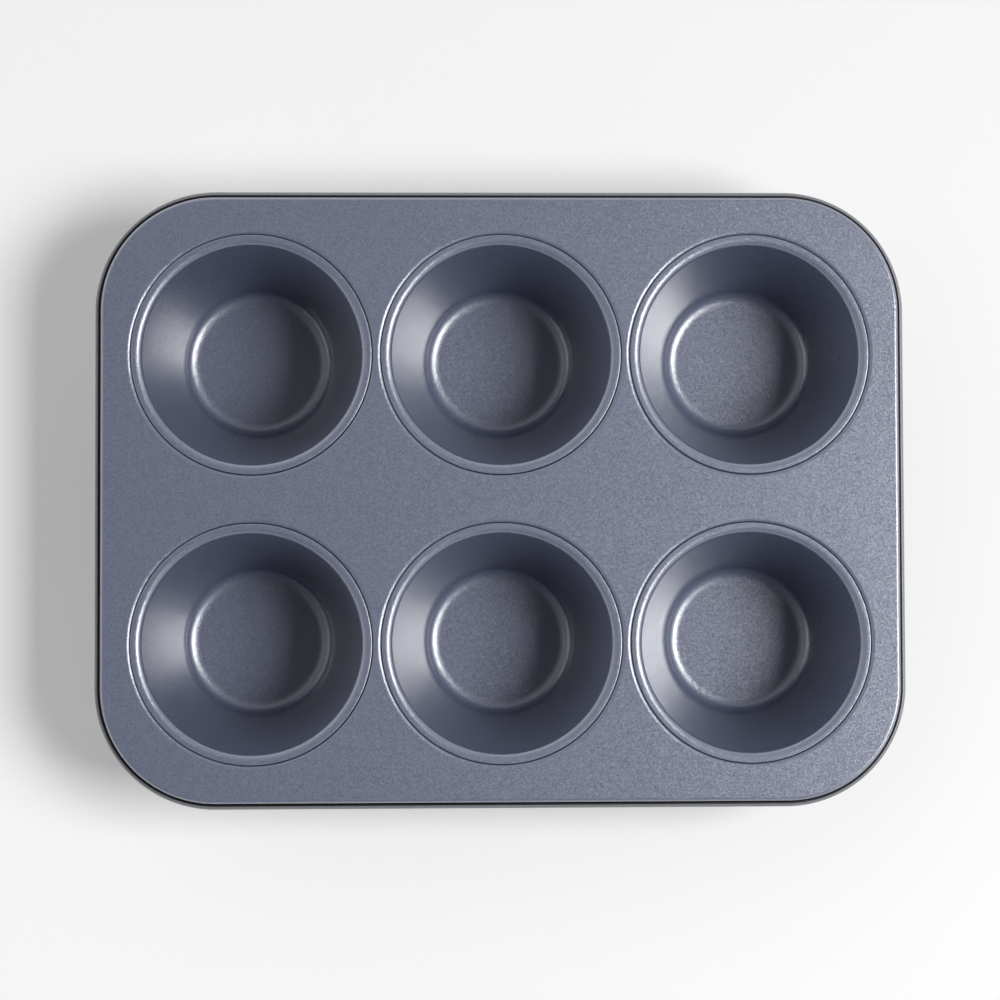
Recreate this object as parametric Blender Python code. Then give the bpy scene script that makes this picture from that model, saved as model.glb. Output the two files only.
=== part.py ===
# Jumbo muffin pan. Six drawn cups are lock-seamed into one flat deck,
# and the deck's edge is turned down and curled round a steel wire.
# Metres, +Z up. The cups stand on Z = 0 and the pan is centred on X = Y = 0.

import math

import bmesh
import bpy
from mathutils import Vector

# Sheet and fits
SHEET = 0.0005
CLEARANCE = 0.0003

# Cup, inside sizes
CUP_DEPTH = 0.048
FLOOR_RADIUS = 0.0275
FLOOR_FILLET = 0.007
MOUTH_RADIUS = 0.052
MOUTH_ROUNDING = 0.003

# Lock seam between each cup and the deck
FLANGE_WIDTH = 0.00175
FLANGE_EDGE = 0.0006
COLLAR_BEND = 0.0015
COLLAR_DEPTH = 0.0045
LOCK_RETURN = 0.0022

# Cup layout, columns along X and rows along Y
COLUMN_NAMES = ("left", "middle", "right")
ROW_NAMES = ("front", "back")

# Deck, as the flat left between two holes and from a hole to the outer skirt
BRIDGE_X = 0.00054
BRIDGE_Y = 0.01823
BORDER_X = 0.01166
BORDER_Y = 0.015185
CORNER_RADIUS = 0.0512

# Rim, turned down and curled round its wire
RIM_BEND = 0.0018
WIRE_DIAMETER = 0.0019
WIRE_DROP = 0.006
WIRE_SLOT = 0.0015

# Facets
ROUND_STEPS = 28
CORNER_STEPS = 8
BEND_STEPS = 3
COLLAR_STEPS = 2
CURL_STEPS = 7
WIRE_ROUNDNESS = 1
SHARP_ANGLE = math.radians(50)

# Heights, radii and distances that follow from the sizes above
HALF_SHEET = SHEET / 2
DECK_TOP = CUP_DEPTH + SHEET
DECK_MIDDLE = DECK_TOP - HALF_SHEET
SEAM_RADIUS = MOUTH_RADIUS + FLANGE_WIDTH
COLLAR_RADIUS = SEAM_RADIUS + CLEARANCE
HOLE_RADIUS = COLLAR_RADIUS + COLLAR_BEND
PITCH_X = 2 * HOLE_RADIUS + BRIDGE_X
PITCH_Y = 2 * HOLE_RADIUS + BRIDGE_Y
DECK_LENGTH = (len(COLUMN_NAMES) - 1) * PITCH_X + 2 * (HOLE_RADIUS + BORDER_X)
DECK_WIDTH = (len(ROW_NAMES) - 1) * PITCH_Y + 2 * (HOLE_RADIUS + BORDER_Y)
CURL_RADIUS = WIRE_DIAMETER / 2 + CLEARANCE + HALF_SHEET
LOCK_RADIUS = CLEARANCE + SHEET
WIRE_REACH = CURL_RADIUS - HALF_SHEET


def clear_scene():
    for obj in list(bpy.data.objects):
        bpy.data.objects.remove(obj, do_unlink=True)


def make_material(name, colour, roughness, metallic):
    material = bpy.data.materials.new(name)
    material.use_nodes = True
    shader = material.node_tree.nodes["Principled BSDF"]
    shader.inputs["Base Color"].default_value = (*colour, 1.0)
    shader.inputs["Roughness"].default_value = roughness
    shader.inputs["Metallic"].default_value = metallic
    material.diffuse_color = (*colour, 1.0)
    return material


# Sheet forms

def straight(length):
    return length, 0.0, 1


def bend(radius, turn, steps):
    return radius, turn, steps


# Middle line of a bent sheet, as (reach, height) points. Each move is a straight
# length, or a bend of a radius through a turn, anticlockwise when positive.
def sheet_line(start, heading, moves):
    reach, height = start
    points = [start]
    for size, turn, steps in moves:
        for _ in range(steps):
            step_turn = turn / steps
            chord = 2 * size * math.sin(abs(step_turn) / 2) if turn else size
            middle = heading + step_turn / 2
            reach += chord * math.cos(middle)
            height += chord * math.sin(middle)
            heading += step_turn
            points.append((reach, height))
    return points


# A loop is a list of (point, outward direction) pairs, in plan.
def circle_loop(centre, radius, side):
    loop = []
    for step in range(ROUND_STEPS):
        angle = 2 * math.pi * step / ROUND_STEPS
        direction = Vector((math.cos(angle), math.sin(angle)))
        loop.append((centre + direction * radius, direction * side))
    return loop


def rounded_rectangle_loop(inset):
    radius = CORNER_RADIUS - inset
    across = DECK_LENGTH / 2 - CORNER_RADIUS
    along = DECK_WIDTH / 2 - CORNER_RADIUS
    loop = []
    for quarter, (side_x, side_y) in enumerate(((1, 1), (-1, 1), (-1, -1), (1, -1))):
        centre = Vector((side_x * across, side_y * along))
        for step in range(CORNER_STEPS + 1):
            angle = math.pi / 2 * (quarter + step / CORNER_STEPS)
            direction = Vector((math.cos(angle), math.sin(angle)))
            loop.append((centre + direction * radius, direction))
    return loop


# Draws one closed ring of edges at the loop, at a height.
def draw_ring(bm, loop, height, places):
    first = len(places)
    verts = []
    for point, direction in loop:
        vert = bm.verts.new((point.x, point.y, height))
        vert[bm.verts.layers.int["place"]] = len(places)
        places.append((point, direction))
        verts.append(vert)
    count = len(places) - first
    return [bm.edges.new((verts[i], verts[(i + 1) % count])) for i in range(count)]


# Extrudes a ring of edges along a sheet line, outward from its loop.
def extrude_along(bm, edges, line, places):
    layer = bm.verts.layers.int["place"]
    start_reach = line[0][0]
    for reach, height in line[1:]:
        grown = bmesh.ops.extrude_edge_only(bm, edges=edges)["geom"]
        verts = {item for item in grown if isinstance(item, bmesh.types.BMVert)}
        for vert in verts:
            point, direction = places[vert[layer]]
            place = point + direction * (reach - start_reach)
            vert.co = (place.x, place.y, height)
        edges = [
            item for item in grown
            if isinstance(item, bmesh.types.BMEdge) and verts.issuperset(item.verts)
        ]


def new_sheet():
    bm = bmesh.new()
    bm.verts.layers.int.new("place")
    return bm


# Turns a middle surface into a sheet of even thickness, smooth over its bends.
def finish_sheet(bm, name, material, location):
    bmesh.ops.recalc_face_normals(bm, faces=bm.faces)
    mesh = bpy.data.meshes.new(name)
    bm.to_mesh(mesh)
    bm.free()
    mesh.shade_smooth()
    mesh.set_sharp_from_angle(angle=SHARP_ANGLE)
    obj = bpy.data.objects.new(name, mesh)
    obj.data.materials.append(material)
    obj.location = location
    bpy.context.scene.collection.objects.link(obj)
    thickness = obj.modifiers.new("thickness", "SOLIDIFY")
    thickness.thickness = SHEET
    thickness.offset = 0.0
    thickness.use_even_offset = True
    thickness.use_quality_normals = True
    return obj


# Pieces

def cup_places():
    for row, row_name in enumerate(ROW_NAMES):
        for column, column_name in enumerate(COLUMN_NAMES):
            x = (column - (len(COLUMN_NAMES) - 1) / 2) * PITCH_X
            y = (row - (len(ROW_NAMES) - 1) / 2) * PITCH_Y
            yield f"cup_{row_name}_{column_name}", Vector((x, y))


# From the top of the deck: over the rim bend, down the skirt, then out and round
# the wire. The curl stops above the wire and leaves a slot between its lip and the skirt.
def rim_line():
    lip = math.acos((HALF_SHEET + WIRE_SLOT - CURL_RADIUS) / (CURL_RADIUS + HALF_SHEET))
    moves = [
        bend(RIM_BEND - HALF_SHEET, -math.pi / 2, BEND_STEPS),
        straight(WIRE_DROP - RIM_BEND),
        bend(CURL_RADIUS, math.pi + lip, CURL_STEPS),
    ]
    return sheet_line((0.0, DECK_MIDDLE), 0.0, moves)


# The hole's edge rolls down into a collar that the cup's seam grips.
def collar_line():
    moves = [
        bend(COLLAR_BEND - HALF_SHEET, -math.pi / 2, COLLAR_STEPS),
        straight(COLLAR_DEPTH - COLLAR_BEND),
    ]
    return sheet_line((0.0, DECK_MIDDLE), 0.0, moves)


def build_deck(material):
    bm = new_sheet()
    places = []
    rim = draw_ring(bm, rounded_rectangle_loop(RIM_BEND), DECK_MIDDLE, places)
    holes = []
    for _, centre in cup_places():
        loop = circle_loop(centre, HOLE_RADIUS, -1)
        holes.append(draw_ring(bm, loop, DECK_MIDDLE, places))
    flat_edges = rim + [edge for hole in holes for edge in hole]
    bmesh.ops.triangle_fill(bm, use_beauty=True, edges=flat_edges, normal=(0, 0, 1))
    extrude_along(bm, rim, rim_line(), places)
    for hole in holes:
        extrude_along(bm, hole, collar_line(), places)
    return finish_sheet(bm, "deck_frame", material, (0, 0, 0))


# Slope and length of the wall that runs tangent to the floor fillet below
# and to the mouth rounding above.
def wall_slope(fillet, rounding):
    run = MOUTH_RADIUS - FLOOR_RADIUS
    rise = DECK_MIDDLE - HALF_SHEET - fillet - rounding
    length = math.sqrt(run**2 + rise**2 - (fillet + rounding)**2)
    slope = math.atan2(rise, run) + math.atan2(fillet + rounding, length)
    return slope, length


# From the floor's edge: fillet, wall, mouth, flange level with the deck, then down
# inside the deck's collar, under its edge and back up outside it.
def cup_line():
    fillet = FLOOR_FILLET + HALF_SHEET
    rounding = MOUTH_ROUNDING - HALF_SHEET
    slope, wall = wall_slope(fillet, rounding)
    moves = [
        bend(fillet, slope, BEND_STEPS),
        straight(wall),
        bend(rounding, -slope, BEND_STEPS),
        straight(FLANGE_WIDTH - FLANGE_EDGE),
        bend(FLANGE_EDGE - HALF_SHEET, -math.pi / 2, 1),
        straight(COLLAR_DEPTH - FLANGE_EDGE),
        bend(LOCK_RADIUS, math.pi, BEND_STEPS),
        straight(LOCK_RETURN),
    ]
    return sheet_line((FLOOR_RADIUS, HALF_SHEET), 0.0, moves)


def build_cup(name, centre, material):
    bm = new_sheet()
    places = []
    loop = circle_loop(Vector((0, 0)), FLOOR_RADIUS, 1)
    floor_edges = draw_ring(bm, loop, HALF_SHEET, places)
    bmesh.ops.edgeloop_fill(bm, edges=floor_edges)
    extrude_along(bm, floor_edges, cup_line(), places)
    return finish_sheet(bm, name, material, (centre.x, centre.y, 0))


# One length of wire follows the curl all the way round, and its ends butt
# together, one clearance apart, in the middle of the back edge.
def build_wire(material):
    loop = rounded_rectangle_loop(-WIRE_REACH)
    middle = CORNER_STEPS + 1
    points = [point for point, _ in loop[middle:] + loop[:middle]]
    back = points[0].y
    butt = CLEARANCE / 2
    points = [Vector((-butt, back))] + points + [Vector((butt, back))]
    curve = bpy.data.curves.new("rim_wire", "CURVE")
    curve.dimensions = "3D"
    curve.bevel_depth = WIRE_DIAMETER / 2
    curve.bevel_resolution = WIRE_ROUNDNESS
    curve.use_fill_caps = True
    spline = curve.splines.new("POLY")
    spline.points.add(len(points) - 1)
    for spline_point, point in zip(spline.points, points):
        spline_point.co = (point.x, point.y, 0, 1)
    spline.use_smooth = True
    wire = bpy.data.objects.new("rim_wire", curve)
    wire.location.z = DECK_TOP - WIRE_DROP
    wire.data.materials.append(material)
    bpy.context.scene.collection.objects.link(wire)
    return wire


def build_pan():
    clear_scene()
    coating = make_material("grey_nonstick_coating", (0.144, 0.165, 0.25), 0.28, 0.0)
    wire_steel = make_material("phosphated_wire", (0.112, 0.117, 0.124), 0.35, 1.0)
    build_deck(coating)
    for name, centre in cup_places():
        build_cup(name, centre, coating)
    build_wire(wire_steel)


build_pan()
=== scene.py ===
import math

import bmesh
import bpy
from mathutils import Matrix, Vector


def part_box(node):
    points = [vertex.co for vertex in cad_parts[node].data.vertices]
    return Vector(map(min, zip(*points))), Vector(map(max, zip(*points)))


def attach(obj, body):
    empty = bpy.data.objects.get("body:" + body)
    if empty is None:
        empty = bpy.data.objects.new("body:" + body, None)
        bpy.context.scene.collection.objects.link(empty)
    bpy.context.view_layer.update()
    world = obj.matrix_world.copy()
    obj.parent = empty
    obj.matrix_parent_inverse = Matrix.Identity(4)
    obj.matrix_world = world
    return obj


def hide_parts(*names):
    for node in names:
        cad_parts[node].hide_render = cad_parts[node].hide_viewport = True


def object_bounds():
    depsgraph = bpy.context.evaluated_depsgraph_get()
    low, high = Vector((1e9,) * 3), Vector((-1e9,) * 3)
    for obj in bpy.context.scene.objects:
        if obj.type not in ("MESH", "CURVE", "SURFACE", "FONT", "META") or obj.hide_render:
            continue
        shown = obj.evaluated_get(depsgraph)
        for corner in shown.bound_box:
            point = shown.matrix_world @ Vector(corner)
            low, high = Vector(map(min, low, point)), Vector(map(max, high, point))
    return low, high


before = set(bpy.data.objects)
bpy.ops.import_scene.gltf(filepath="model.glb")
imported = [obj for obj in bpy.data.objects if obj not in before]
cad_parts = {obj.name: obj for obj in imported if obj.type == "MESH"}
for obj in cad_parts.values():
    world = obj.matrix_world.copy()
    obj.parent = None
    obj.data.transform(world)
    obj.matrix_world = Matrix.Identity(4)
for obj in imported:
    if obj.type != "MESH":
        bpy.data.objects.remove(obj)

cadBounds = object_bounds()

# Places read from the frame, in metres
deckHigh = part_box("deck_frame")[1]
deckTop = deckHigh[2]
cupNames = [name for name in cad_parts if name.startswith("cup_")]

# What every sheet piece shares, in metres and degrees
sheet = {
    "thickness": 0.0005,
    "gap": 0.0003,              # round the wire, between its ends and inside the lock seams
    "support": 0.00015,         # from a bend to the point that keeps the flat beside it flat
    "weld": 0.000004,           # points nearer than this become one
    "smoothAngle": 40,
}
halfSheet = sheet["thickness"] / 2
deckMiddle = deckTop - halfSheet
levelSlack = 1e-6               # how far off a point may lie and still count as level,
reachSlack = 1e-5               # and as lying on a ring or an outline


# Small helpers

def hexColour(text):
    # sRGB hex to the linear values that a shader wants
    channels = [int(text[i:i + 2], 16) / 255 for i in (1, 3, 5)]
    return tuple(c / 12.92 if c <= 0.04045 else ((c + 0.055) / 1.055) ** 2.4 for c in channels) + (1.0,)


def addNode(tree, kind, settings=None, links=None):
    # settings are sockets or properties by name, links are socket name to (node, output name)
    node = tree.nodes.new(kind)
    for key, value in (settings or {}).items():
        if isinstance(key, int) or key in node.inputs:
            node.inputs[key].default_value = value
        else:
            setattr(node, key, value)
    for key, (source, output) in (links or {}).items():
        tree.links.new(source.outputs[output], node.inputs[key])
    return node


def startPiece(name):
    # names the primitive that was just added and opens it for editing
    piece = bpy.context.object
    piece.name = name
    piece.data.name = name
    bpy.ops.object.mode_set(mode="EDIT")
    bpy.ops.mesh.select_mode(type="EDGE")
    return piece


def clearSelection():
    if bpy.context.object and bpy.context.object.mode == "EDIT":
        bpy.ops.object.mode_set(mode="OBJECT")
    bpy.ops.object.select_all(action="DESELECT")


def selectWhere(piece, test):
    # selects the edges whose two ends pass the test
    bpy.ops.mesh.select_all(action="DESELECT")
    mesh = bmesh.from_edit_mesh(piece.data)
    for edge in mesh.edges:
        if all(test(vert.co) for vert in edge.verts):
            edge.select_set(True)
    bmesh.update_edit_mesh(piece.data)


def applyModifier(piece, kind, **settings):
    modifier = piece.modifiers.new(kind.lower(), kind)
    for key, value in settings.items():
        setattr(modifier, key, value)
    bpy.ops.object.modifier_apply(modifier=modifier.name)


def finishSheet(piece, topMaterial, underMaterial):
    # one skin becomes sheet steel: doubles merged, top side turned up, wall given, bends smoothed
    bpy.ops.mesh.select_all(action="SELECT")
    bpy.ops.mesh.remove_doubles(threshold=sheet["weld"])
    bpy.ops.mesh.normals_make_consistent(inside=False)
    bpy.ops.object.mode_set(mode="OBJECT")
    bpy.ops.object.transform_apply(location=True, rotation=True, scale=True)
    widest = max(piece.data.polygons, key=lambda face: face.area)
    if widest.normal.z < 0:
        piece.data.flip_normals()
    piece.data.materials.append(topMaterial)
    piece.data.materials.append(underMaterial)
    applyModifier(
        piece, "SOLIDIFY", thickness=sheet["thickness"], offset=0.0,
        use_even_offset=True, use_quality_normals=True, material_offset=1, material_offset_rim=1,
    )
    bpy.ops.object.shade_smooth_by_angle(angle=math.radians(sheet["smoothAngle"]))


# Bent sheet lines, as a list of (size, angle, steps) moves

def run(length):
    # straight stretch, with a support point near each end so the bends beside it shade cleanly
    support = min(sheet["support"], length / 3)
    return [(support, 0.0, 1), (length - 2 * support, 0.0, 1), (support, 0.0, 1)]


def turn(radius, degrees, perStep):
    return [(radius, math.radians(degrees), max(1, round(abs(degrees) / perStep)))]


def sheetLine(start, heading, moves):
    # the middle of the sheet as (reach, height) points
    reach, height = start
    points = [start]
    for size, angle, steps in moves:
        for _ in range(steps):
            part = angle / steps
            chord = 2 * size * math.sin(abs(part) / 2) if angle else size
            reach += chord * math.cos(heading + part / 2)
            height += chord * math.sin(heading + part / 2)
            heading += part
            points.append((reach, height))
    return points


def drawRingsOut(line, centre):
    # the selected ring is extruded point by point along the line, about the centre
    for (reach, height), (nextReach, nextHeight) in zip(line, line[1:]):
        bpy.ops.mesh.extrude_edges_move(
            TRANSFORM_OT_translate={"value": (0, 0, nextHeight - height)}
        )
        grow = nextReach / reach
        bpy.ops.transform.resize(value=(grow, grow, 1), center_override=centre)


# Camera

cameraPose = {
    "place": (-0.02788, -0.0345, 1.0),      # metres, the last one above the deck's top face
    "turn": (1.942, -1.547, -0.192),        # degrees
    "fieldOfView": 25.168,
}


def makeCamera():
    lens = bpy.data.cameras.new("camera")
    lens.angle = math.radians(cameraPose["fieldOfView"])
    lens.dof.use_dof = False
    camera = bpy.data.objects.new("camera", lens)
    x, y, z = cameraPose["place"]
    camera.location = (x, y, deckTop + z)
    camera.rotation_euler = [math.radians(value) for value in cameraPose["turn"]]
    bpy.context.scene.collection.objects.link(camera)
    bpy.context.scene.camera = camera
    print("camera above the pan, metres:", z)


# Materials

coating = {
    "levelColour": "#6A7189",   # slate blue-grey body of the coating
    "steepWallShadeColour": "#494E64",    # darker colour on steep walls: painted shade standing in for the light they miss
    "steepest": 0.45,           # upright part of the normal below which a stretch is coated as a wall
    "levellest": 0.9,           # and above which it is coated as level sheet
    "ior": 1.85,                # well above a clear resin's 1.5: the flakes in it mirror neutral white
    "levelRoughness": 0.39,     # spread of the gloss by flakes too small to draw
    "wallRoughness": 0.15,
    "levelShine": 0.68,         # specular level
    "wallShine": 0.3,
    "flakeSize": 0.00012,       # metres; a real flake is about a third of it, and drawn so it wouldn't show
    "flakeTilt": 0.24,          # largest slope of a flake
    "secondFlake": 0.8,         # the second layer's flakes, as a share of the first's size
    "grainSize": 0.0004,        # clusters of flakes, which the eye sees as grain
    "grainTilt": 0.066,
    "grainShade": 0.2,          # how much paler or darker a cluster may be
    "topRoughness": 0.19,       # clear skin over the flakes
    "topIor": 1.7,              # a little above a clear resin's 1.5, matched to the glints on bends
    "topFollows": 0.55,         # share of the flakes' lean that shows on the skin
}


def nonstickCoating(name, values):
    # sprayed PTFE with aluminium flake: slate grey under a wide pale gloss, with a fine sparkle; steep
    # walls painted darker as shade
    material = bpy.data.materials.new(name)
    material.use_nodes = True
    tree = material.node_tree
    shader = tree.nodes["Principled BSDF"]
    place = addNode(tree, "ShaderNodeTexCoord")
    surface = addNode(tree, "ShaderNodeNewGeometry")
    halfway = (0.5, 0.5, 0.5)

    def cellTilt(size, slope):
        # each cell leans its own way, by up to the slope
        cells = addNode(tree, "ShaderNodeTexVoronoi", {"Scale": 1 / size}, {"Vector": (place, "Object")})
        lean = addNode(
            tree, "ShaderNodeVectorMath", {"operation": "SUBTRACT", 1: halfway}, {0: (cells, "Color")}
        )
        return addNode(
            tree, "ShaderNodeVectorMath", {"operation": "SCALE", 3: 2 * slope}, {0: (lean, "Vector")}
        )

    # two layers of flakes share the tilt
    halfTilt = values["flakeTilt"] / 2
    flakes = addNode(
        tree, "ShaderNodeVectorMath", {"operation": "ADD"},
        {0: (cellTilt(values["flakeSize"], halfTilt), "Vector"),
         1: (cellTilt(values["flakeSize"] * values["secondFlake"], halfTilt), "Vector")},
    )
    leans = addNode(
        tree, "ShaderNodeVectorMath", {"operation": "ADD"},
        {0: (flakes, "Vector"), 1: (cellTilt(values["grainSize"], values["grainTilt"]), "Vector")},
    )
    # the spray lies flake side up on level stretches and runs smooth on steep walls
    upward = addNode(tree, "ShaderNodeSeparateXYZ", None, {"Vector": (surface, "Normal")})
    level = addNode(tree, "ShaderNodeMath", {"operation": "ABSOLUTE"}, {0: (upward, "Z")})
    share = addNode(
        tree, "ShaderNodeMapRange",
        {"From Min": values["steepest"], "From Max": values["levellest"]}, {"Value": (level, "Value")},
    )
    leaning = addNode(
        tree, "ShaderNodeVectorMath", {"operation": "SCALE"}, {0: (leans, "Vector"), 3: (share, "Result")}
    )
    # the clear skin over the flakes follows them in part
    for socket, part in (("Normal", 1.0), ("Coat Normal", values["topFollows"])):
        followed = addNode(
            tree, "ShaderNodeVectorMath", {"operation": "SCALE", 3: part}, {0: (leaning, "Vector")}
        )
        tilted = addNode(
            tree, "ShaderNodeVectorMath", {"operation": "ADD"},
            {0: (surface, "Normal"), 1: (followed, "Vector")},
        )
        normal = addNode(
            tree, "ShaderNodeVectorMath", {"operation": "NORMALIZE"}, {0: (tilted, "Vector")}
        )
        tree.links.new(normal.outputs["Vector"], shader.inputs[socket])
    # level stretches take the body colour and steep walls a darker one: the darkening is painted shade
    body = addNode(tree, "ShaderNodeValToRGB", None, {"Fac": (share, "Result")})
    body.color_ramp.elements[0].color = hexColour(values["steepWallShadeColour"])
    body.color_ramp.elements[1].color = hexColour(values["levelColour"])
    specks = addNode(
        tree, "ShaderNodeTexVoronoi", {"Scale": 1 / values["grainSize"]}, {"Vector": (place, "Object")}
    )
    grain = addNode(tree, "ShaderNodeSeparateColor", None, {"Color": (specks, "Color")})
    shade = addNode(
        tree, "ShaderNodeMapRange",
        {"To Min": 1 - values["grainShade"], "To Max": 1 + values["grainShade"]},
        {"Value": (grain, "Red")},
    )
    shaded = addNode(
        tree, "ShaderNodeVectorMath", {"operation": "SCALE"}, {0: (body, "Color"), 3: (shade, "Result")}
    )
    tree.links.new(shaded.outputs["Vector"], shader.inputs["Base Color"])
    shine = addNode(
        tree, "ShaderNodeMapRange", {"To Min": values["wallShine"], "To Max": values["levelShine"]},
        {"Value": (share, "Result")},
    )
    tree.links.new(shine.outputs["Result"], shader.inputs["Specular IOR Level"])
    satin = addNode(
        tree, "ShaderNodeMapRange",
        {"To Min": values["wallRoughness"], "To Max": values["levelRoughness"]},
        {"Value": (share, "Result")},
    )
    tree.links.new(satin.outputs["Result"], shader.inputs["Roughness"])
    shader.inputs["IOR"].default_value = values["ior"]
    shader.inputs["Coat Weight"].default_value = 1.0
    shader.inputs["Coat Roughness"].default_value = values["topRoughness"]
    shader.inputs["Coat IOR"].default_value = values["topIor"]
    return material


underside = {
    "colour": "#7D7E83",
    "speckle": 0.10,            # how much paler or darker a speckle may be
    "speckleSize": 0.0006,      # metres
    "roughness": 0.42,
}


def plainCoating(name, values):
    # thin unflaked coat sprayed on the underside: neutral grey and dull, with a faint mottle
    material = bpy.data.materials.new(name)
    material.use_nodes = True
    tree = material.node_tree
    shader = tree.nodes["Principled BSDF"]
    place = addNode(tree, "ShaderNodeTexCoord")
    cells = addNode(
        tree, "ShaderNodeTexVoronoi", {"Scale": 1 / values["speckleSize"]}, {"Vector": (place, "Object")}
    )
    cell = addNode(tree, "ShaderNodeSeparateColor", None, {"Color": (cells, "Color")})
    shade = addNode(
        tree, "ShaderNodeMapRange",
        {"To Min": 1 - values["speckle"], "To Max": 1 + values["speckle"]}, {"Value": (cell, "Red")},
    )
    shaded = addNode(
        tree, "ShaderNodeVectorMath", {"operation": "SCALE", 0: hexColour(values["colour"])[:3]},
        {3: (shade, "Result")},
    )
    tree.links.new(shaded.outputs["Vector"], shader.inputs["Base Color"])
    shader.inputs["Roughness"].default_value = values["roughness"]
    return material


wireFinishAndShade = {
    # the dark grey stands in for the shade in the crevice round the wire: painted shade
    "darkColour": "#4E5053",
    "paleColour": "#6B6D70",
    "patchesPerMetre": 900.0,
    "patchDetail": 3.0,
    "roughness": 0.35,
}


def drawnWire(name, values):
    # drawn steel wire made dark grey as painted shade for the crevice it lies in, faintly mottled
    material = bpy.data.materials.new(name)
    material.use_nodes = True
    tree = material.node_tree
    shader = tree.nodes["Principled BSDF"]
    place = addNode(tree, "ShaderNodeTexCoord")
    patches = addNode(
        tree, "ShaderNodeTexNoise",
        {"Scale": values["patchesPerMetre"], "Detail": values["patchDetail"]},
        {"Vector": (place, "Object")},
    )
    mottle = addNode(tree, "ShaderNodeValToRGB", None, {"Fac": (patches, "Fac")})
    mottle.color_ramp.elements[0].color = hexColour(values["darkColour"])
    mottle.color_ramp.elements[1].color = hexColour(values["paleColour"])
    tree.links.new(mottle.outputs["Color"], shader.inputs["Base Color"])
    shader.inputs["Roughness"].default_value = values["roughness"]
    shader.inputs["Metallic"].default_value = 1.0
    return material


# Cups

cup = {
    "sides": 192,
    "floorRadius": 0.0275,      # where the flat floor ends
    "floorRing": 0.0006,        # outermost strip of the flat floor
    "floorFillet": 0.007,
    "mouthRadius": 0.0523,      # where the mouth's rounding meets the flange
    "mouthRounding": 0.0036,
    "seamRadius": 0.0538,       # outer face of the flange's turned-down edge
    "flangeEdge": 0.0006,
    "seamDepth": 0.0045,
    "lockReturn": 0.0022,       # how far the flange's end comes back up outside the collar
    "bendStep": 5,              # degrees of bend for each face
    "edgeStep": 15,
    "lockStep": 20,
}


def cupLine():
    # from the floor up the wall, over the mouth and down into the lock seam
    fillet = cup["floorFillet"] + halfSheet
    rounding = cup["mouthRounding"] - halfSheet
    across = cup["mouthRadius"] - cup["floorRadius"]
    rise = deckMiddle - halfSheet - fillet - rounding
    wall = math.sqrt(across ** 2 + rise ** 2 - (fillet + rounding) ** 2)
    slope = math.degrees(math.atan2(rise, across) + math.atan2(fillet + rounding, wall))
    lock = sheet["thickness"] + sheet["gap"]
    moves = (
        run(cup["floorRing"])
        + turn(fillet, slope, cup["bendStep"])
        + run(wall)
        + turn(rounding, -slope, cup["bendStep"])
        + run(cup["seamRadius"] - cup["flangeEdge"] - cup["mouthRadius"])
        + turn(cup["flangeEdge"] - halfSheet, -90, cup["edgeStep"])
        + run(cup["seamDepth"] - cup["flangeEdge"])
        + turn(lock, 180, cup["lockStep"])
        + run(cup["lockReturn"])
    )
    return sheetLine((cup["floorRadius"] - cup["floorRing"], halfSheet), 0.0, moves)


def cupCentre(name):
    low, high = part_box(name)
    return Vector(((low[0] + high[0]) / 2, (low[1] + high[1]) / 2, 0))


def makeCupShape(topMaterial, underMaterial):
    clearSelection()
    line = cupLine()
    bpy.ops.mesh.primitive_circle_add(
        vertices=cup["sides"], radius=line[0][0], fill_type="NGON", location=(0, 0, line[0][1])
    )
    shape = startPiece("cupShape")
    bpy.ops.mesh.select_all(action="SELECT")
    bpy.ops.mesh.region_to_loop()
    drawRingsOut(line, (0, 0, 0))
    finishSheet(shape, topMaterial, underMaterial)
    return shape


def makeCups(topMaterial, underMaterial):
    shape = makeCupShape(topMaterial, underMaterial)
    for name in cupNames:
        mesh = shape.data.copy()
        mesh.transform(Matrix.Translation(cupCentre(name)))
        piece = bpy.data.objects.new(name.replace("cup", "drawn_cup"), mesh)
        bpy.context.scene.collection.objects.link(piece)
        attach(piece, "root")
        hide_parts(name)
    bpy.data.objects.remove(shape, do_unlink=True)
    print("cups:", len(cupNames))


# Deck and rim

rim = {
    "cornerRadius": 0.0512,     # over the skirt
    "cornerSteps": 40,
    "deckEdge": 0.0008,         # strip of flat deck before the bend
    "bend": 0.0018,
    "wireDiameter": 0.0019,
    "wireSides": 20,
    "wireDrop": 0.006,          # from the deck's top face down to the wire's middle
    "wireSlot": 0.0015,         # between the curl's lip and the skirt
    "bendStep": 7.5,            # degrees of bend for each face
    "curlStep": 12,
}
collar = {
    "gap": 0.0002,              # to the cup's flange inside it
    "dipRadius": 0.0021,
    "dipAngle": 40,             # degrees
    "bend": 0.00038,
    "depth": 0.00425,
    "flat": 0.00004,            # a narrow flat ring beside each dip keeps the wide deck shading flat
    "dipStep": 4,               # degrees of bend for each face
    "bendStep": 10,
}
curlRadius = rim["wireDiameter"] / 2 + sheet["gap"] + halfSheet
skirtX = deckHigh[0] - 2 * curlRadius
skirtY = deckHigh[1] - 2 * curlRadius
straightX = skirtX - rim["cornerRadius"]
straightY = skirtY - rim["cornerRadius"]


def runRound(stop=0.0):
    # the selected profile, at the middle of the back edge, is drawn round the pan
    def draw(x, y):
        bpy.ops.mesh.extrude_region_move(TRANSFORM_OT_translate={"value": (x, y, 0)})

    def corner(x, y):
        bpy.ops.mesh.spin(
            steps=rim["cornerSteps"], angle=math.radians(90), center=(x, y, 0), axis=(0, 0, -1)
        )

    draw(-straightX, 0)
    corner(-straightX, straightY)
    draw(0, -2 * straightY)
    corner(-straightX, -straightY)
    draw(2 * straightX, 0)
    corner(straightX, -straightY)
    draw(0, 2 * straightY)
    corner(straightX, straightY)
    draw(-straightX + stop, 0)


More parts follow.
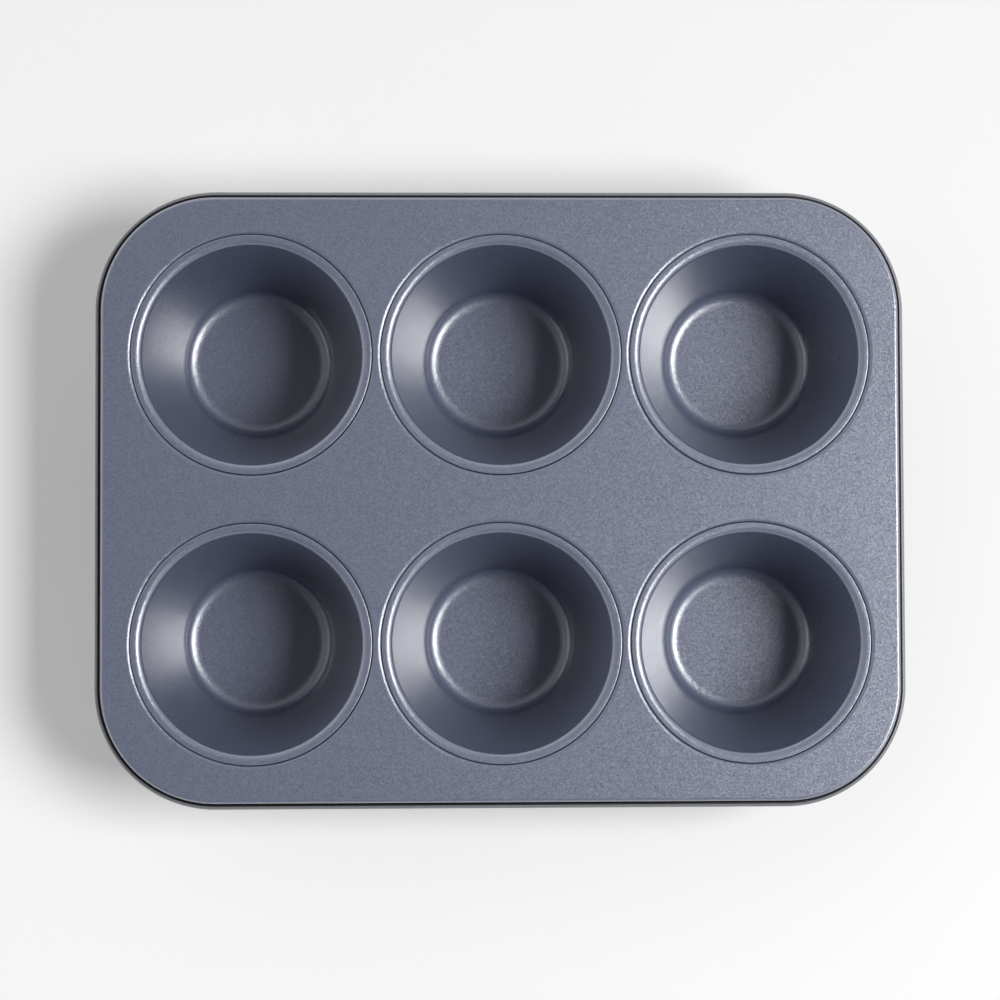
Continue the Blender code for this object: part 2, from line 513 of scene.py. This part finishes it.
def rimLine():
    # from the flat deck over the edge, down the skirt and outward round the wire
    lipSide = halfSheet + rim["wireSlot"] - curlRadius
    lip = math.degrees(math.acos(lipSide / (curlRadius + halfSheet)))
    moves = (
        run(rim["deckEdge"])
        + turn(rim["bend"] - halfSheet, -90, rim["bendStep"])
        + run(rim["wireDrop"] - rim["bend"])
        + turn(curlRadius, 180 + lip, rim["curlStep"])
    )
    return sheetLine((skirtY - rim["bend"] - rim["deckEdge"], deckMiddle), 0.0, moves)


def collarLine():
    # the deck dips gently toward each hole, then turns sharply down round the cup's flange
    dip = math.radians(collar["dipAngle"])
    reach = collar["dipRadius"] * math.sin(dip) + collar["bend"] * (1 - math.sin(dip))
    drop = collar["dipRadius"] * (1 - math.cos(dip)) + collar["bend"] * math.cos(dip)
    outer = cup["seamRadius"] + collar["gap"] + halfSheet + reach
    moves = (
        turn(collar["dipRadius"], -collar["dipAngle"], collar["dipStep"])
        + turn(collar["bend"], collar["dipAngle"] - 90, collar["bendStep"])
        + run(collar["depth"] - drop)
    )
    line = sheetLine((0.0, deckMiddle), 0.0, moves)
    return [(outer - reach, height) for reach, height in line]


def insideRound(place, radius):
    # within the rounded rectangle whose corner arcs have that radius
    beyondX = max(0.0, abs(place.x) - straightX)
    beyondY = max(0.0, abs(place.y) - straightY)
    return math.hypot(beyondX, beyondY) < radius


def makeDeck(topMaterial, underMaterial):
    clearSelection()
    line = rimLine()
    bpy.ops.mesh.primitive_plane_add(size=rim["deckEdge"], location=(0, 0, 0))
    deck = startPiece("pan_deck")
    # the plane shrinks to one point, which is drawn out along the rim's line
    bpy.ops.mesh.merge(type="CENTER")
    bpy.ops.mesh.select_mode(type="VERT")
    bpy.ops.mesh.select_all(action="SELECT")
    bpy.ops.transform.translate(value=(0, line[0][0], line[0][1]))
    for (reach, height), (nextReach, nextHeight) in zip(line, line[1:]):
        bpy.ops.mesh.extrude_region_move(
            TRANSFORM_OT_translate={"value": (0, nextReach - reach, nextHeight - height)}
        )
    bpy.ops.mesh.select_all(action="SELECT")
    runRound()
    bpy.ops.mesh.select_all(action="SELECT")
    bpy.ops.mesh.remove_doubles(threshold=sheet["weld"])
    bpy.ops.mesh.select_mode(type="EDGE")
    # the flat deck is filled between the rim's inner edge and a ring round each hole
    holeLine = collarLine()
    holeReach = holeLine[0][0] + collar["flat"]
    centres = [cupCentre(name) for name in cupNames]
    for centre in centres:
        bpy.ops.mesh.primitive_circle_add(
            vertices=cup["sides"], radius=holeReach, location=(centre.x, centre.y, deckMiddle)
        )
    innerReach = line[0][0]
    innerCorner = innerReach - straightY

    def onInnerLoop(place):
        return abs(place.z - deckMiddle) < levelSlack and (
            abs(place.x) < straightX + innerCorner + reachSlack
            and abs(place.y) < innerReach + reachSlack
            and insideRound(place, innerCorner + reachSlack)
        )

    selectWhere(deck, onInnerLoop)
    bpy.ops.mesh.fill(use_beauty=True)
    for centre in centres:
        def onHole(place):
            offRing = abs((place.xy - centre.xy).length - holeReach)
            return offRing < reachSlack and abs(place.z - deckMiddle) < levelSlack

        selectWhere(deck, onHole)
        drawRingsOut([(holeReach, deckMiddle)] + holeLine, centre)
    finishSheet(deck, topMaterial, underMaterial)
    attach(deck, "root")
    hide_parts("deck_frame")
    print("deck faces:", len(deck.data.polygons))


def makeWire(material):
    clearSelection()
    reach = skirtY + curlRadius - halfSheet
    bpy.ops.mesh.primitive_circle_add(
        vertices=rim["wireSides"], radius=rim["wireDiameter"] / 2, location=(0, 0, 0),
        rotation=(0, math.radians(90), 0), fill_type="NOTHING",
    )
    bpy.ops.object.transform_apply(location=True, rotation=True, scale=True)
    wire = startPiece("rim_wire_bent")
    bpy.ops.mesh.select_all(action="SELECT")
    # the two ends butt at the middle of the back edge, with a gap between them
    halfGap = sheet["gap"] / 2
    bpy.ops.transform.translate(value=(-halfGap, reach, deckTop - rim["wireDrop"]))
    bpy.ops.mesh.edge_face_add()
    bpy.ops.mesh.select_mode(type="FACE")
    runRound(stop=2 * halfGap)
    bpy.ops.mesh.select_all(action="SELECT")
    bpy.ops.mesh.normals_make_consistent(inside=False)
    bpy.ops.object.mode_set(mode="OBJECT")
    bpy.ops.object.shade_smooth_by_angle(angle=math.radians(sheet["smoothAngle"]))
    wire.data.materials.append(material)
    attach(wire, "root")
    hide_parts("rim_wire")
    print("wire faces:", len(wire.data.polygons))


# Table and light

table = {
    "colour": "#E7E7E7",
    "width": 3.6,
    "drop": 0.0001,                         # below the pan's feet
    "roughness": 0.9,
    "specular": 0.1,
    "glow": 0.17,                           # seen by the camera and in reflections only
    "tone": 1.03,
    "slope": (-0.42, -0.10, 0.0),           # change of tone per metre, paler to the front left: painted light falloff across the table
    "darkestTone": 0.80,
    "palestTone": 1.26,
}
softbox = {
    "place": (1.34, -0.12, 1.40),
    "width": 1.05,
    "height": 0.76,
    "power": 37.0,
}
room = {
    "ceiling": 0.03,
    "band": 1.3,                            # pale band low all round
    "bandNarrowness": 14.0,
    "wallsTowards": (-0.55, 0.48, 0.0),     # the longer, the paler they are
    "wallsAllRound": 0.14,
    "wallsLowness": 0.7,                    # the higher, the nearer the horizon they keep
    "reflectorTowards": (-0.66, 0.0, 0.75),
    "reflectorNarrowness": 60.0,
    "reflectorGlow": 0.42,
}


def makeTable():
    # matt white paper with painted light falloff: paler to the front left, darker to the back and right
    clearSelection()
    height = cadBounds[0][2] - table["drop"]
    bpy.ops.mesh.primitive_plane_add(size=table["width"], location=(0, 0, height))
    top = bpy.context.object
    top.name = "table"
    material = bpy.data.materials.new("whiteTable")
    material.use_nodes = True
    tree = material.node_tree
    shader = tree.nodes["Principled BSDF"]
    shader.inputs["Roughness"].default_value = table["roughness"]
    shader.inputs["Specular IOR Level"].default_value = table["specular"]
    place = addNode(tree, "ShaderNodeTexCoord")
    # the tone change across the paper is painted light falloff, clamped between the darkest and palest tone
    slope = addNode(
        tree, "ShaderNodeVectorMath", {"operation": "DOT_PRODUCT", 1: table["slope"]},
        {0: (place, "Object")},
    )
    sloped = addNode(
        tree, "ShaderNodeMath", {"operation": "ADD", 1: table["tone"]}, {0: (slope, "Value")}
    )
    tone = addNode(
        tree, "ShaderNodeClamp", {"Min": table["darkestTone"], "Max": table["palestTone"]},
        {"Value": (sloped, "Value")},
    )
    paper = addNode(
        tree, "ShaderNodeVectorMath", {"operation": "SCALE", 0: hexColour(table["colour"])[:3]},
        {3: (tone, "Result")},
    )
    tree.links.new(paper.outputs["Vector"], shader.inputs["Base Color"])
    ray = addNode(tree, "ShaderNodeLightPath")
    shown = addNode(
        tree, "ShaderNodeMath", {"operation": "ADD"},
        {0: (ray, "Is Camera Ray"), 1: (ray, "Is Glossy Ray")},
    )
    toned = addNode(
        tree, "ShaderNodeMath", {"operation": "MULTIPLY"}, {0: (shown, "Value"), 1: (tone, "Result")}
    )
    glow = addNode(
        tree, "ShaderNodeMath", {"operation": "MULTIPLY", 1: table["glow"]}, {0: (toned, "Value")}
    )
    shader.inputs["Emission Color"].default_value = (1.0, 1.0, 1.0, 1.0)
    tree.links.new(glow.outputs["Value"], shader.inputs["Emission Strength"])
    top.data.materials.append(material)
    print("table width:", table["width"])


def makeSoftbox():
    lamp = bpy.data.lights.new("softbox", "AREA")
    lamp.shape = "RECTANGLE"
    lamp.size = softbox["width"]
    lamp.size_y = softbox["height"]
    lamp.energy = softbox["power"]
    holder = bpy.data.objects.new("softbox", lamp)
    holder.location = softbox["place"]
    aim = Vector((0, 0, deckTop)) - Vector(softbox["place"])
    holder.rotation_euler = aim.to_track_quat("-Z", "Y").to_euler()
    bpy.context.scene.collection.objects.link(holder)
    print("softbox watts:", lamp.energy)


def makeRoom():
    # pale band low all round, paler walls left and back, dark ceiling, reflector high at the left
    world = bpy.data.worlds.new("studio")
    bpy.context.scene.world = world
    world.use_nodes = True
    tree = world.node_tree
    background = tree.nodes["Background"]
    place = addNode(tree, "ShaderNodeTexCoord")
    direction = addNode(tree, "ShaderNodeSeparateXYZ", None, {"Vector": (place, "Generated")})
    upSquared = addNode(
        tree, "ShaderNodeMath", {"operation": "MULTIPLY"}, {0: (direction, "Z"), 1: (direction, "Z")}
    )
    level = addNode(
        tree, "ShaderNodeMath", {"operation": "SUBTRACT", 0: 1.0}, {1: (upSquared, "Value")}
    )
    low = addNode(
        tree, "ShaderNodeMath", {"operation": "POWER", 1: room["bandNarrowness"]},
        {0: (level, "Value")},
    )
    band = addNode(
        tree, "ShaderNodeMath", {"operation": "MULTIPLY_ADD", 1: room["band"], 2: room["ceiling"]},
        {0: (low, "Value")},
    )
    wide = addNode(
        tree, "ShaderNodeMath", {"operation": "POWER", 1: room["wallsLowness"]}, {0: (level, "Value")}
    )
    facing = addNode(
        tree, "ShaderNodeVectorMath", {"operation": "DOT_PRODUCT", 1: room["wallsTowards"]},
        {0: (place, "Generated")},
    )
    share = addNode(
        tree, "ShaderNodeMath", {"operation": "ADD", 1: room["wallsAllRound"]}, {0: (facing, "Value")}
    )
    walls = addNode(tree, "ShaderNodeMath", {"operation": "MAXIMUM", 1: 0.0}, {0: (share, "Value")})
    glow = addNode(
        tree, "ShaderNodeMath", {"operation": "MULTIPLY_ADD"},
        {0: (wide, "Value"), 1: (walls, "Value"), 2: (band, "Value")},
    )
    lobe = addNode(
        tree, "ShaderNodeVectorMath", {"operation": "DOT_PRODUCT", 1: room["reflectorTowards"]},
        {0: (place, "Generated")},
    )
    above = addNode(tree, "ShaderNodeMath", {"operation": "MAXIMUM", 1: 0.0}, {0: (lobe, "Value")})
    reflector = addNode(
        tree, "ShaderNodeMath", {"operation": "POWER", 1: room["reflectorNarrowness"]},
        {0: (above, "Value")},
    )
    total = addNode(
        tree, "ShaderNodeMath", {"operation": "MULTIPLY_ADD", 1: room["reflectorGlow"]},
        {0: (reflector, "Value"), 2: (glow, "Value")},
    )
    tree.links.new(total.outputs["Value"], background.inputs["Strength"])
    background.inputs["Color"].default_value = (1.0, 1.0, 1.0, 1.0)
    print("room set")


bpy.context.scene.view_settings.view_transform = "Standard"
makeCamera()
coatedSteel = nonstickCoating("satinNonstickCoating", coating)
plainSteel = plainCoating("dullUndersideCoating", underside)
wireSteel = drawnWire("shadeDarkenedWire", wireFinishAndShade)
makeCups(coatedSteel, plainSteel)
makeDeck(coatedSteel, plainSteel)
makeWire(wireSteel)
makeTable()
makeSoftbox()
makeRoom()
